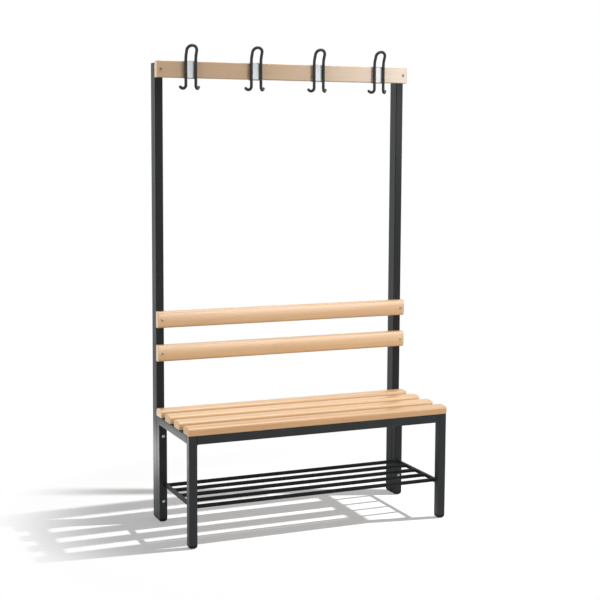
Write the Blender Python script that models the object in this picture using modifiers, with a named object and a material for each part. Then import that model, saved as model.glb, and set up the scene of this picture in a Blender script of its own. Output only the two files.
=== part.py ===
# Changing room bench: a welded tube seat frame with beech slats and a shoe rack, two tall posts
# bolted behind it, two backrest slats, and a hook rail that carries four bent wire hooks.
# Metres, +Z up. The bench stands on Z = 0, its front looks along -Y, and X = 0 is its middle.

import bmesh
import bpy
from math import asin, cos, pi, radians, sin
from mathutils import Matrix, Vector

# Overall frame
BENCH_WIDTH = 1.000         # over the outer faces of the legs and posts
SEAT_DEPTH = 0.375          # front of the front legs to the back of the rear legs
FRAME_HEIGHT = 0.3935       # top of the seat frame
POST_HEIGHT = 1.673         # top of the post caps

# Steel sections
TUBE = 0.030                # square tube of the legs and seat rails
TUBE_WALL = 0.002
POST_WIDTH = 0.030
POST_DEPTH = 0.050
POST_WALL = 0.002
TUBE_CORNER = 0.003         # outside corner radius of the tubes

# Plastic feet and caps
FOOT_HEAD = 0.012           # part of a foot that shows under its tube
FOOT_ROUND = 0.008          # rounding of a foot's lower edge
FOOT_PLUG = 0.020           # part of a foot inside its tube
CAP_THICKNESS = 0.003
CAP_ROUND = 0.0012
CAP_PLUG = 0.015

# Shoe rack
RACK_HEIGHT = 0.139         # middle of the bars above the floor
RACK_BARS = 5
RACK_BAR_DIAMETER = 0.012
CROSS_BAR = 0.012           # square bar between a front and a rear leg
CROSS_BAR_ROUND = 0.0015

# Beech slats of the seat and the backrest
SEAT_SLATS = 4
SLAT_WIDTH = 0.060
SLAT_THICKNESS = 0.030      # at the crown
SLAT_CAMBER = 0.0035        # drop from the crown to the edges
SLAT_EDGE = 0.006           # rounding of the edges that show
SLAT_BACK_EDGE = 0.003      # rounding of the edges that lie on the frame
BOARD_OVERHANG = 0.0015     # how far each board passes the frame at each end
BOARD_END_ROUND = 0.0025
BACKREST_CLEAR = 0.172      # seat top to the lower backrest slat
BACKREST_GAP = 0.063        # between the two backrest slats

# Hook rail
RAIL_HEIGHT = 0.060
RAIL_THICKNESS = 0.028
RAIL_EDGE = 0.003
RAIL_RISE = 0.0065          # how far the rail stands above the posts

# Wire hooks and their clips
HOOKS = 4
HOOK_END = 0.1235           # outer hooks in from the ends of the frame
HOOK_WIRE = 0.010           # diameter
HOOK_SPAN = 0.0375          # between the middles of a hook's two legs
HOOK_RISE = 0.060           # top of the arch above the rail
HOOK_DROP = 0.0425          # bottom of the curls below the rail
HOOK_LEAN_START = 0.010     # the arch starts to lean forward this far above the rail
HOOK_LEAN_RADIUS = 0.063
CURL_RADIUS = 0.012
CURL_TURN = radians(135)
CURL_TIP = 0.008            # straight end of the wire
CURL_SPLAY = radians(45)    # the curls open outward and back
CLIP_WIDTH = 0.040
CLIP_THICKNESS = 0.002
CLIP_GRIP = 0.020           # depth of the two flanges over the rail

# Fasteners
POST_BOLT = 0.006           # diameter
POST_BOLT_HEAD = 0.012
POST_BOLT_HEAD_HEIGHT = 0.0035
POST_BOLT_TAIL = 0.012      # past the wall of the post
LOWER_BOLT_HEIGHT = 0.079
UPPER_BOLT_DROP = 0.0715    # below the top of the frame
BOARD_SCREW = 0.005
BOARD_SCREW_HEAD = 0.0095
BOARD_SCREW_HEAD_HEIGHT = 0.002
BOARD_SCREW_TAIL = 0.008
SEAT_SCREW_BITE = 0.016     # depth in the slat

# Fits
GAP = 0.0003                # between faces that touch
HOLE_CLEARANCE = 0.0003     # round a shank
PLUG_CLEARANCE = 0.0003     # round a plug in its tube
RACK_CLEARANCE = 0.0005     # outer rack bars to the planes of the legs

# Fineness of the round forms
CORNER_STEPS = 3
CAMBER_STEPS = 8
ARCH_STEPS = 12
LEAN_STEPS = 4
CURL_STEPS = 8
TURNED_STEPS = 12
WELD = 0.00001
CUT_EXTRA = 0.001           # cutters reach this far past what they cut

# Places that follow from the sizes above
FRONT_Y = -(SEAT_DEPTH + GAP + POST_DEPTH) / 2
REAR_LEG_Y = FRONT_Y + SEAT_DEPTH - TUBE
POST_Y = FRONT_Y + SEAT_DEPTH + GAP
SIDES = {"left": -1, "right": 1}
BOARD_LENGTH = BENCH_WIDTH + 2 * BOARD_OVERHANG
SLAT_Z = FRAME_HEIGHT + GAP
SEAT_TOP = SLAT_Z + SLAT_THICKNESS
LOWER_BACKREST_Z = SEAT_TOP + BACKREST_CLEAR + SLAT_WIDTH / 2
UPPER_BACKREST_Z = LOWER_BACKREST_Z + SLAT_WIDTH + BACKREST_GAP
RAIL_Z = POST_HEIGHT + RAIL_RISE - RAIL_HEIGHT / 2
BOARD_BACK_Y = POST_Y - GAP
RAIL_FRONT_Y = BOARD_BACK_Y - RAIL_THICKNESS
FASTENER_X = (BENCH_WIDTH - min(TUBE, POST_WIDTH)) / 2

# Directions that carry an outline's X and Y, and with them its length, to the bench
UPRIGHT = ("X", "Y")
ALONG_X = ("Y", "Z")
ALONG_Y = ("Z", "X")
FACING_FRONT = ("Z", "-Y")
AXES = {"X": Vector((1, 0, 0)), "Y": Vector((0, 1, 0)), "Z": Vector((0, 0, 1)), "-Y": Vector((0, -1, 0))}


def new_collection(name):
    collection = bpy.data.collections.new(name)
    bpy.context.scene.collection.children.link(collection)
    return collection


def finish(name, colour, roughness, metallic=0.0):
    material = bpy.data.materials.new(name)
    material.use_nodes = True
    shader = material.node_tree.nodes["Principled BSDF"]
    shader.inputs["Base Color"].default_value = (*colour, 1.0)
    shader.inputs["Roughness"].default_value = roughness
    shader.inputs["Metallic"].default_value = metallic
    material.diffuse_color = (*colour, 1.0)
    return material


def placed(directions, origin):
    x_axis, y_axis = (AXES[direction] for direction in directions)
    rotation = Matrix((x_axis, y_axis, x_axis.cross(y_axis))).transposed()
    return Matrix.Translation(origin) @ rotation.to_4x4()


def add_piece(name, data, material, matrix):
    piece = bpy.data.objects.new(name, data)
    if not data.materials:
        data.materials.append(material)
    piece.parent = bench
    piece.matrix_world = matrix
    parts.objects.link(piece)
    return piece


def shade_round(mesh):
    mesh.shade_smooth()
    mesh.set_sharp_from_angle(angle=radians(40))


def arc(x, y, radius, start, end, steps):
    angles = [start + (end - start) * step / steps for step in range(steps + 1)]
    return [(x + radius * cos(angle), y + radius * sin(angle)) for angle in angles]


def rounded_rectangle(width, depth, radius):
    points = []
    for corner, (side_x, side_y) in enumerate(((1, 1), (-1, 1), (-1, -1), (1, -1))):
        x = side_x * (width / 2 - radius)
        y = side_y * (depth / 2 - radius)
        points += arc(x, y, radius, corner * pi / 2, (corner + 1) * pi / 2, CORNER_STEPS)
    return points


def slat_outline():
    # A flat back, rounded edges and a crowned face: the crown's arc runs into the edge rounding.
    half = SLAT_WIDTH / 2
    crown_radius = (half ** 2 + SLAT_CAMBER ** 2) / (2 * SLAT_CAMBER)
    crown_y = SLAT_THICKNESS - crown_radius
    edge_x = half - SLAT_EDGE
    edge_turn = asin(edge_x / (crown_radius - SLAT_EDGE))
    edge_y = crown_y + (crown_radius - SLAT_EDGE) * cos(edge_turn)
    back_x = half - SLAT_BACK_EDGE
    points = arc(back_x, SLAT_BACK_EDGE, SLAT_BACK_EDGE, -pi / 2, 0, CORNER_STEPS)
    points += arc(edge_x, edge_y, SLAT_EDGE, 0, pi / 2 - edge_turn, CORNER_STEPS + 1)
    points += arc(0, crown_y, crown_radius, pi / 2 - edge_turn, pi / 2 + edge_turn, CAMBER_STEPS)[1:]
    points += arc(-edge_x, edge_y, SLAT_EDGE, pi / 2 + edge_turn, pi, CORNER_STEPS + 1)[1:]
    points += arc(-back_x, SLAT_BACK_EDGE, SLAT_BACK_EDGE, pi, 3 * pi / 2, CORNER_STEPS)
    return points


def extruded(name, outlines, length):
    # Outlines in the XY plane, the later ones as holes, drawn out evenly along Z.
    curve = bpy.data.curves.new(name, "CURVE")
    curve.dimensions = "2D"
    curve.fill_mode = "BOTH"
    curve.extrude = length / 2
    for outline in outlines:
        spline = curve.splines.new("POLY")
        spline.points.add(len(outline) - 1)
        for point, (x, y) in zip(spline.points, outline):
            point.co = (x, y, 0, 1)
        spline.use_cyclic_u = True
    sketch = bpy.data.objects.new(name, curve)
    bpy.context.scene.collection.objects.link(sketch)
    evaluated = sketch.evaluated_get(bpy.context.evaluated_depsgraph_get())
    mesh = bpy.data.meshes.new_from_object(evaluated)
    mesh.name = name
    bpy.data.objects.remove(sketch)
    form = bmesh.new()
    form.from_mesh(mesh)
    bmesh.ops.remove_doubles(form, verts=form.verts, dist=WELD)
    if len(outlines) == 1:
        bmesh.ops.dissolve_limit(form, angle_limit=radians(0.5), verts=form.verts, edges=form.edges)
    bmesh.ops.recalc_face_normals(form, faces=form.faces)
    form.to_mesh(mesh)
    form.free()
    shade_round(mesh)
    return mesh


def lofted(name, sections):
    # Sections are outlines of equal point counts with their heights, from the bottom up.
    form = bmesh.new()
    rings = [[form.verts.new((x, y, z)) for x, y in outline] for outline, z in sections]
    for lower, upper in zip(rings, rings[1:]):
        for here in range(len(lower)):
            beside = (here + 1) % len(lower)
            form.faces.new((lower[here], lower[beside], upper[beside], upper[here]))
    form.faces.new(list(reversed(rings[0])))
    form.faces.new(rings[-1])
    mesh = bpy.data.meshes.new(name)
    form.to_mesh(mesh)
    form.free()
    shade_round(mesh)
    return mesh


def round_ends(piece):
    bevel = piece.modifiers.new("rounded ends", "BEVEL")
    bevel.limit_method = "ANGLE"
    bevel.angle_limit = radians(60)
    bevel.width = BOARD_END_ROUND
    bevel.segments = 2


def drill(piece, start, end, diameter):
    # Notes a round hole for a shank, from one point to another.
    holes.setdefault(piece.name, []).append((Vector(start), Vector(end), diameter / 2 + HOLE_CLEARANCE))


def cut_holes():
    # One cutter for each drilled piece takes out all of its holes together.
    for name, bores in holes.items():
        form = bmesh.new()
        for start, end, radius in bores:
            axis = end - start
            aim = axis.to_track_quat("Z", "Y").to_matrix().to_4x4()
            bmesh.ops.create_cone(
                form,
                cap_ends=True,
                segments=TURNED_STEPS,
                radius1=radius,
                radius2=radius,
                depth=axis.length,
                matrix=Matrix.Translation(start + axis / 2) @ aim,
            )
        mesh = bpy.data.meshes.new(name + "_holes")
        form.to_mesh(mesh)
        form.free()
        cutter = bpy.data.objects.new(name + "_holes", mesh)
        cutter.hide_render = True
        cutter.display_type = "WIRE"
        cutters.objects.link(cutter)
        cut = parts.objects[name].modifiers.new("holes", "BOOLEAN")
        cut.operation = "DIFFERENCE"
        cut.object = cutter


def fastener_profile(name, head, head_height, shank, length):
    # Half of a bolt or screw: a domed head above the origin and a shank below it.
    dome = [(head / 2 * sin(turn), head_height * cos(turn)) for turn in (0, pi / 4, pi * 0.44)]
    points = dome + [(head / 2, 0), (shank / 2, 0), (shank / 2, -length + shank / 4)]
    points += [(shank / 4, -length), (0, -length)]
    mesh = bpy.data.meshes.new(name)
    edges = [(index, index + 1) for index in range(len(points) - 1)]
    mesh.from_pydata([(x, 0, z) for x, z in points], edges, [])
    return mesh


def add_fastener(name, profile, material, location, head_turn):
    matrix = Matrix.Translation(location) @ Matrix.Rotation(head_turn, 4, "X")
    piece = add_piece(name, profile, material, matrix)
    turn = piece.modifiers.new("turned", "SCREW")
    turn.axis = "Z"
    turn.steps = TURNED_STEPS
    turn.render_steps = TURNED_STEPS
    turn.use_merge_vertices = True
    turn.merge_threshold = WELD
    turn.use_smooth_shade = True
    return piece


def add_tube(name, width, depth, wall, length, directions, origin):
    bore_corner = max(TUBE_CORNER - wall, TUBE_CORNER / 4)
    outside = rounded_rectangle(width, depth, TUBE_CORNER)
    bore = rounded_rectangle(width - 2 * wall, depth - 2 * wall, bore_corner)
    return add_piece(name, extruded(name, (outside, bore), length), powder_coat, placed(directions, origin))


def add_foot(name, width, depth, wall, x, y):
    sections = []
    for step in range(CORNER_STEPS + 1):
        turn = step / CORNER_STEPS * pi / 2
        inset = 2 * FOOT_ROUND * (1 - sin(turn))
        outline = rounded_rectangle(width - inset, depth - inset, TUBE_CORNER)
        sections.append((outline, FOOT_ROUND * (1 - cos(turn))))
    sections.append((rounded_rectangle(width, depth, TUBE_CORNER), FOOT_HEAD))
    plug = plug_outline(width, depth, wall)
    sections.append((plug, FOOT_HEAD))
    sections.append((plug, FOOT_HEAD + FOOT_PLUG))
    return add_piece(name, lofted(name, sections), black_plastic, Matrix.Translation((x, y, 0)))


def plug_outline(width, depth, wall):
    play = 2 * (wall + PLUG_CLEARANCE)
    return rounded_rectangle(width - play, depth - play, max(TUBE_CORNER - wall, TUBE_CORNER / 4))


def add_post_cap(name, x, y):
    plug = plug_outline(POST_WIDTH, POST_DEPTH, POST_WALL)
    full = rounded_rectangle(POST_WIDTH, POST_DEPTH, TUBE_CORNER)
    top = rounded_rectangle(POST_WIDTH - 2 * CAP_ROUND, POST_DEPTH - 2 * CAP_ROUND, TUBE_CORNER - CAP_ROUND)
    under = POST_HEIGHT - CAP_THICKNESS
    sections = [(plug, under - CAP_PLUG), (plug, under), (full, under)]
    sections += [(full, POST_HEIGHT - CAP_ROUND), (top, POST_HEIGHT)]
    return add_piece(name, lofted(name, sections), black_plastic, Matrix.Translation((x, y, 0)))


def build_posts():
    middle_y = POST_Y + POST_DEPTH / 2
    low = FOOT_HEAD + GAP
    high = POST_HEIGHT - CAP_THICKNESS - GAP
    for side, sign in SIDES.items():
        x = sign * (BENCH_WIDTH - POST_WIDTH) / 2
        origin = (x, middle_y, (low + high) / 2)
        post = add_tube("post_" + side, POST_WIDTH, POST_DEPTH, POST_WALL, high - low, UPRIGHT, origin)
        pieces["post", side] = post
        add_foot("post_foot_" + side, POST_WIDTH, POST_DEPTH, POST_WALL, x, middle_y)
        add_post_cap("post_cap_" + side, x, middle_y)


def build_seat_frame():
    low = FOOT_HEAD + GAP
    rail_z = FRAME_HEIGHT - TUBE / 2
    for row, y in (("front", FRONT_Y + TUBE / 2), ("rear", REAR_LEG_Y + TUBE / 2)):
        for side, sign in SIDES.items():
            x = sign * (BENCH_WIDTH - TUBE) / 2
            origin = (x, y, (low + FRAME_HEIGHT) / 2)
            name = f"leg_{row}_{side}"
            leg = add_tube(name, TUBE, TUBE, TUBE_WALL, FRAME_HEIGHT - low, UPRIGHT, origin)
            pieces["leg", row, side] = leg
            add_foot(f"leg_foot_{row}_{side}", TUBE, TUBE, TUBE_WALL, x, y)
        length = BENCH_WIDTH - 2 * (TUBE + GAP)
        add_tube("seat_rail_" + row, TUBE, TUBE, TUBE_WALL, length, ALONG_X, (0, y, rail_z))
    length = SEAT_DEPTH - 2 * (TUBE + GAP)
    for side, sign in SIDES.items():
        origin = (sign * (BENCH_WIDTH - TUBE) / 2, FRONT_Y + SEAT_DEPTH / 2, rail_z)
        rail = add_tube("seat_rail_" + side, TUBE, TUBE, TUBE_WALL, length, ALONG_Y, origin)
        pieces["seat_rail", side] = rail


def build_shoe_rack():
    inner_x = BENCH_WIDTH / 2 - TUBE
    middle_y = FRONT_Y + SEAT_DEPTH / 2
    outline = rounded_rectangle(CROSS_BAR, CROSS_BAR, CROSS_BAR_ROUND)
    length = SEAT_DEPTH - 2 * (TUBE + GAP)
    for side, sign in SIDES.items():
        name = "rack_cross_bar_" + side
        origin = (sign * (inner_x + CROSS_BAR / 2), middle_y, RACK_HEIGHT)
        add_piece(name, extruded(name, (outline,), length), powder_coat, placed(ALONG_Y, origin))
    spread = SEAT_DEPTH - 2 * (TUBE + RACK_CLEARANCE) - RACK_BAR_DIAMETER
    for number in range(RACK_BARS):
        y = middle_y + spread * (number / (RACK_BARS - 1) - 0.5)
        ends = [(sign * (inner_x - GAP), 0, 0) for sign in (-1, 1)]
        bar = round_wire(f"rack_bar_{number + 1}", ends, [1, 1], RACK_BAR_DIAMETER)
        add_piece(bar.name, bar, powder_coat, Matrix.Translation((0, y, RACK_HEIGHT)))


def round_wire(name, route, thickness, diameter):
    # A wire along a route, with a factor on its diameter at each point.
    curve = bpy.data.curves.new(name, "CURVE")
    curve.dimensions = "3D"
    curve.bevel_depth = diameter / 2
    curve.bevel_resolution = 3
    curve.use_fill_caps = True
    spline = curve.splines.new("POLY")
    spline.points.add(len(route) - 1)
    for point, place, factor in zip(spline.points, route, thickness):
        point.co = (*place, 1)
        point.radius = factor
    spline.use_smooth = True
    return curve


def build_boards():
    slat = slat_outline()
    pitch = (SEAT_DEPTH - GAP - SLAT_WIDTH) / (SEAT_SLATS - 1)
    for number in range(SEAT_SLATS):
        name = f"seat_slat_{number + 1}"
        y = FRONT_Y + SLAT_WIDTH / 2 + number * pitch
        place = placed(ALONG_X, (0, y, SLAT_Z))
        board = add_piece(name, extruded(name, (slat,), BOARD_LENGTH), beech, place)
        round_ends(board)
        pieces["seat_slat", number] = board
    for name, z in (("backrest_slat_lower", LOWER_BACKREST_Z), ("backrest_slat_upper", UPPER_BACKREST_Z)):
        place = placed(FACING_FRONT, (0, BOARD_BACK_Y, z))
        board = add_piece(name, extruded(name, (slat,), BOARD_LENGTH), beech, place)
        round_ends(board)
        screw_to_posts(board, z, SLAT_THICKNESS)
    name = "hook_rail"
    outline = rounded_rectangle(RAIL_THICKNESS, RAIL_HEIGHT, RAIL_EDGE)
    origin = (0, BOARD_BACK_Y - RAIL_THICKNESS / 2, RAIL_Z)
    board = add_piece(name, extruded(name, (outline,), BOARD_LENGTH), beech, placed(ALONG_X, origin))
    round_ends(board)
    screw_to_posts(board, RAIL_Z, RAIL_THICKNESS)


def screw_to_posts(board, z, thickness):
    length = thickness + 2 * GAP + POST_WALL + BOARD_SCREW_TAIL
    name = board.name + "_screw"
    profile = fastener_profile(name, BOARD_SCREW_HEAD, BOARD_SCREW_HEAD_HEIGHT, BOARD_SCREW, length)
    face_y = BOARD_BACK_Y - thickness
    for side, sign in SIDES.items():
        x = sign * FASTENER_X
        drill(board, (x, face_y - CUT_EXTRA, z), (x, BOARD_BACK_Y + CUT_EXTRA, z), BOARD_SCREW)
        wall_end = (x, POST_Y + POST_WALL + CUT_EXTRA, z)
        drill(pieces["post", side], (x, POST_Y - CUT_EXTRA, z), wall_end, BOARD_SCREW)
        add_fastener(f"{name}_{side}", profile, zinc, (x, face_y - GAP, z), pi / 2)


def build_post_bolts():
    length = TUBE + 2 * GAP + POST_WALL + POST_BOLT_TAIL
    profile = fastener_profile("post_bolt", POST_BOLT_HEAD, POST_BOLT_HEAD_HEIGHT, POST_BOLT, length)
    for side, sign in SIDES.items():
        x = sign * FASTENER_X
        for row, z in (("lower", LOWER_BOLT_HEIGHT), ("upper", FRAME_HEIGHT - UPPER_BOLT_DROP)):
            start = (x, REAR_LEG_Y - CUT_EXTRA, z)
            drill(pieces["leg", "rear", side], start, (x, REAR_LEG_Y + TUBE + CUT_EXTRA, z), POST_BOLT)
            wall_end = (x, POST_Y + POST_WALL + CUT_EXTRA, z)
            drill(pieces["post", side], (x, POST_Y - CUT_EXTRA, z), wall_end, POST_BOLT)
            add_fastener(f"post_bolt_{row}_{side}", profile, zinc, (x, REAR_LEG_Y - GAP, z), pi / 2)


def build_seat_screws():
    # Each slat is screwed from below, through the part of a side rail that lies under it.
    length = TUBE + 2 * GAP + SEAT_SCREW_BITE
    profile = fastener_profile("seat_screw", BOARD_SCREW_HEAD, BOARD_SCREW_HEAD_HEIGHT, BOARD_SCREW, length)
    under = FRAME_HEIGHT - TUBE
    for number in range(SEAT_SLATS):
        slat = pieces["seat_slat", number]
        front = max(slat.matrix_world.translation.y - SLAT_WIDTH / 2, FRONT_Y + TUBE + GAP)
        back = min(slat.matrix_world.translation.y + SLAT_WIDTH / 2, REAR_LEG_Y - GAP)
        y = (front + back) / 2
        for side, sign in SIDES.items():
            x = sign * (BENCH_WIDTH - TUBE) / 2
            start = (x, y, under - CUT_EXTRA)
            drill(pieces["seat_rail", side], start, (x, y, FRAME_HEIGHT + CUT_EXTRA), BOARD_SCREW)
            bottom = (x, y, SLAT_Z + SEAT_SCREW_BITE + CUT_EXTRA)
            drill(slat, (x, y, SLAT_Z - CUT_EXTRA), bottom, BOARD_SCREW)
            add_fastener(f"seat_screw_{number + 1}_{side}", profile, zinc, (x, y, under - GAP), pi)


def hook_half():
    # Route of the wire from the top of the arch to one tip, about the rail's upper edge.
    # The arch is drawn flat and then bent forward round an axis that lies along the bench.
    reach = HOOK_RISE - HOOK_LEAN_START - HOOK_WIRE / 2
    height = HOOK_LEAN_RADIUS * asin(reach / HOOK_LEAN_RADIUS)
    half = HOOK_SPAN / 2
    turns = [pi / 2 * (1 - 2 * step / ARCH_STEPS) for step in range(ARCH_STEPS // 2 + 1)]
    flat = [(half * cos(turn), height - half + half * sin(turn)) for turn in turns]
    leg = height - half
    flat += [(half, leg * (1 - step / LEAN_STEPS)) for step in range(1, LEAN_STEPS + 1)]
    route = []
    for x, along in flat:
        turn = along / HOOK_LEAN_RADIUS
        y = -HOOK_LEAN_RADIUS * (1 - cos(turn))
        route.append((x, y, HOOK_LEAN_START + HOOK_LEAN_RADIUS * sin(turn)))
    start_z = -RAIL_HEIGHT - HOOK_DROP + HOOK_WIRE / 2 + CURL_RADIUS
    for step in range(CURL_STEPS + 1):
        turn = CURL_TURN * step / CURL_STEPS
        out = CURL_RADIUS * (1 - cos(turn))
        z = start_z - CURL_RADIUS * sin(turn)
        route.append((half + out * cos(CURL_SPLAY), out * sin(CURL_SPLAY), z))
    return route


def hook_route():
    # Both halves, with the straight tips and their rounded ends.
    half = hook_half()
    end = Vector(half[-1])
    ahead = Vector((cos(CURL_SPLAY) * sin(CURL_TURN), sin(CURL_SPLAY) * sin(CURL_TURN), -cos(CURL_TURN)))
    thickness = [1.0] * len(half)
    for turn in (0, radians(35), radians(65), radians(82)):
        half.append(end + ahead * (CURL_TIP + HOOK_WIRE / 2 * (sin(turn) - 1)))
        thickness.append(cos(turn))
    mirrored = [(-x, y, z) for x, y, z in half[:0:-1]]
    return mirrored + half, thickness[:0:-1] + thickness


def clip_outline():
    # Seen along the bench: a flat front with two flanges bent round the rail's rounded edges.
    bend_y = RAIL_HEIGHT / 2 - RAIL_EDGE
    inner = RAIL_EDGE + GAP
    outer = inner + CLIP_THICKNESS
    points = [(CLIP_GRIP, -bend_y - outer)]
    points += arc(RAIL_EDGE, -bend_y, outer, 3 * pi / 2, pi, CORNER_STEPS)
    points += arc(RAIL_EDGE, bend_y, outer, pi, pi / 2, CORNER_STEPS)
    points += [(CLIP_GRIP, bend_y + outer), (CLIP_GRIP, bend_y + inner)]
    points += arc(RAIL_EDGE, bend_y, inner, pi / 2, pi, CORNER_STEPS)
    points += arc(RAIL_EDGE, -bend_y, inner, pi, 3 * pi / 2, CORNER_STEPS)
    points.append((CLIP_GRIP, -bend_y - inner))
    return points


def build_hooks():
    route, thickness = hook_route()
    wire_y = RAIL_FRONT_Y - CLIP_THICKNESS - 2 * GAP - HOOK_WIRE / 2
    pitch = (BENCH_WIDTH - 2 * HOOK_END) / (HOOKS - 1)
    for number in range(HOOKS):
        x = (number - (HOOKS - 1) / 2) * pitch
        name = f"hook_clip_{number + 1}"
        clip = extruded(name, (clip_outline(),), CLIP_WIDTH)
        add_piece(name, clip, pale_enamel, placed(ALONG_X, (x, RAIL_FRONT_Y, RAIL_Z)))
        wire = round_wire(f"hook_{number + 1}", route, thickness, HOOK_WIRE)
        add_piece(wire.name, wire, coated_wire, Matrix.Translation((x, wire_y, RAIL_Z + RAIL_HEIGHT / 2)))


for leftover in list(bpy.data.objects):
    bpy.data.objects.remove(leftover, do_unlink=True)

parts = new_collection("changing_room_bench")
cutters = new_collection("hole_cutters")
bench = bpy.data.objects.new("bench", None)
parts.objects.link(bench)
beech = finish("beech", (0.70, 0.47, 0.26), 0.45)
powder_coat = finish("powder_coat", (0.030, 0.032, 0.035), 0.40)
black_plastic = finish("black_plastic", (0.015, 0.015, 0.016), 0.55)
coated_wire = finish("coated_wire", (0.012, 0.012, 0.013), 0.35)
pale_enamel = finish("pale_enamel", (0.72, 0.73, 0.74), 0.40)
zinc = finish("zinc", (0.62, 0.61, 0.58), 0.35, 1.0)

pieces = {}
holes = {}
build_posts()
build_seat_frame()
build_shoe_rack()
build_boards()
build_post_bolts()
build_seat_screws()
build_hooks()
cut_holes()
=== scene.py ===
from math import asin, cos, pi, radians, sin

import bmesh
import bpy
from mathutils import Matrix, Vector


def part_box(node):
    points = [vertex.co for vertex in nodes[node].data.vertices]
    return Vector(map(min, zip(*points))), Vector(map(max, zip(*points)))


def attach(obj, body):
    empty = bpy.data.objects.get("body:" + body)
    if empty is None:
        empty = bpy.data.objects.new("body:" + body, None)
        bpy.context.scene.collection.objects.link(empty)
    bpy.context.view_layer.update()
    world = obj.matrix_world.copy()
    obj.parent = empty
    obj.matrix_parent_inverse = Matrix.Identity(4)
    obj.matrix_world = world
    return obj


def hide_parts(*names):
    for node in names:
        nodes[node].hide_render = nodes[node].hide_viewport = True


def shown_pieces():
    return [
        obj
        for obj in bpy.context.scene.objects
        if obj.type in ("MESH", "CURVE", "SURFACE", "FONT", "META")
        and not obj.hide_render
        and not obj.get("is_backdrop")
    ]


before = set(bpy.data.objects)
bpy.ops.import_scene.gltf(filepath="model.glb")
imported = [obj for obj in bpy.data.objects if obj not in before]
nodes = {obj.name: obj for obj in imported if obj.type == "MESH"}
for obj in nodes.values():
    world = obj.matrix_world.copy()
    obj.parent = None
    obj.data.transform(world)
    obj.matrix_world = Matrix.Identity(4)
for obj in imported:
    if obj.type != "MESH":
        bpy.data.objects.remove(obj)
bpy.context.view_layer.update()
scene = bpy.context.scene
print("frame loaded,", len(nodes), "nodes")


class Feed:  # one output in a shader tree, so that maths on it reads as maths
    def __init__(self, tree, socket=None):
        self.tree, self.socket = tree, socket

    def join(self, value, target):
        if isinstance(value, Feed):
            self.tree.links.new(value.socket, target)
        else:
            target.default_value = value

    def node(self, kind, settings=None, sockets=None, output=0):
        made = self.tree.nodes.new(kind)
        for key, value in (settings or {}).items():
            setattr(made, key, value)
        for key, value in (sockets or {}).items():
            self.join(value, made.inputs[key])
        return Feed(self.tree, made.outputs[output] if made.outputs else None)

    def maths(self, operation, *values):
        return self.node("ShaderNodeMath", {"operation": operation}, dict(enumerate(values)))

    def __add__(self, other):
        return self.maths("ADD", self, other)

    def __radd__(self, other):
        return self.maths("ADD", other, self)

    def __sub__(self, other):
        return self.maths("SUBTRACT", self, other)

    def __rsub__(self, other):
        return self.maths("SUBTRACT", other, self)

    def __mul__(self, other):
        return self.maths("MULTIPLY", self, other)

    def __rmul__(self, other):
        return self.maths("MULTIPLY", other, self)

    def __truediv__(self, other):
        return self.maths("DIVIDE", self, other)

    def __pow__(self, other):
        return self.maths("POWER", self, other)

    def __abs__(self):
        return self.maths("ABSOLUTE", self)

    def fract(self):
        return self.maths("FRACT", self)

    def vector(self, operation, other):
        return self.node("ShaderNodeVectorMath", {"operation": operation}, {0: self, 1: other})

    def length(self):
        return self.node("ShaderNodeVectorMath", {"operation": "LENGTH"}, {0: self}, "Value")

    def axis(self, index):
        return self.node("ShaderNodeSeparateXYZ", None, {0: self}, index)

    def noise(self, stretch, detail, roughness=0.5):
        place = self.vector("MULTIPLY", stretch)
        return self.node("ShaderNodeTexNoise", None,
                         {"Vector": place, "Scale": 1.0, "Detail": detail, "Roughness": roughness})

    def ramp(self, low, high):  # 0 at low, 1 at high, eased between
        return self.node("ShaderNodeMapRange", {"interpolation_type": "SMOOTHSTEP"},
                         {"Value": self, "From Min": low, "From Max": high})

    def tint(self, plain, full):  # this value as the share of full; 6, 7 and 2 are the colour sockets
        return self.node("ShaderNodeMix", {"data_type": "RGBA"}, {0: self, 6: plain, 7: full}, 2)

    def bump(self, strength, distance):
        return self.node("ShaderNodeBump", None,
                         {"Height": self, "Strength": strength, "Distance": distance})


def sumOf(shares, **feeds):  # each feed times its share, on top of the least value where there is one
    parts = [feed * shares[key] for key, feed in feeds.items()]
    total = shares["least"] + parts[0] if "least" in shares else parts[0]
    for part in parts[1:]:
        total = total + part
    return total


def colour(red, green, blue):
    return (red, green, blue, 1.0)


white, black = colour(1.0, 1.0, 1.0), colour(0.0, 0.0, 0.0)


def newFinish(name, fixed):
    material = bpy.data.materials.new(name)
    material.use_nodes = True
    tree = material.node_tree
    shader = next(made for made in tree.nodes if made.type == "BSDF_PRINCIPLED")
    for key, value in fixed.items():
        shader.inputs[key].default_value = value
    start = Feed(tree)
    # the bench's own space, in metres; screws and bolts have a space each
    place = start.node("ShaderNodeTexCoord", output="Object")
    return material, shader, start, place


def finishShader(start, shader, feeds):
    for key, value in feeds.items():
        start.join(value, shader.inputs[key])


# in each finish: patterns have a stretch per metre, a detail and some a roughness; a span is where a pattern
# starts to count and where it counts in full; a bump has a strength and a depth in metres

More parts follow.
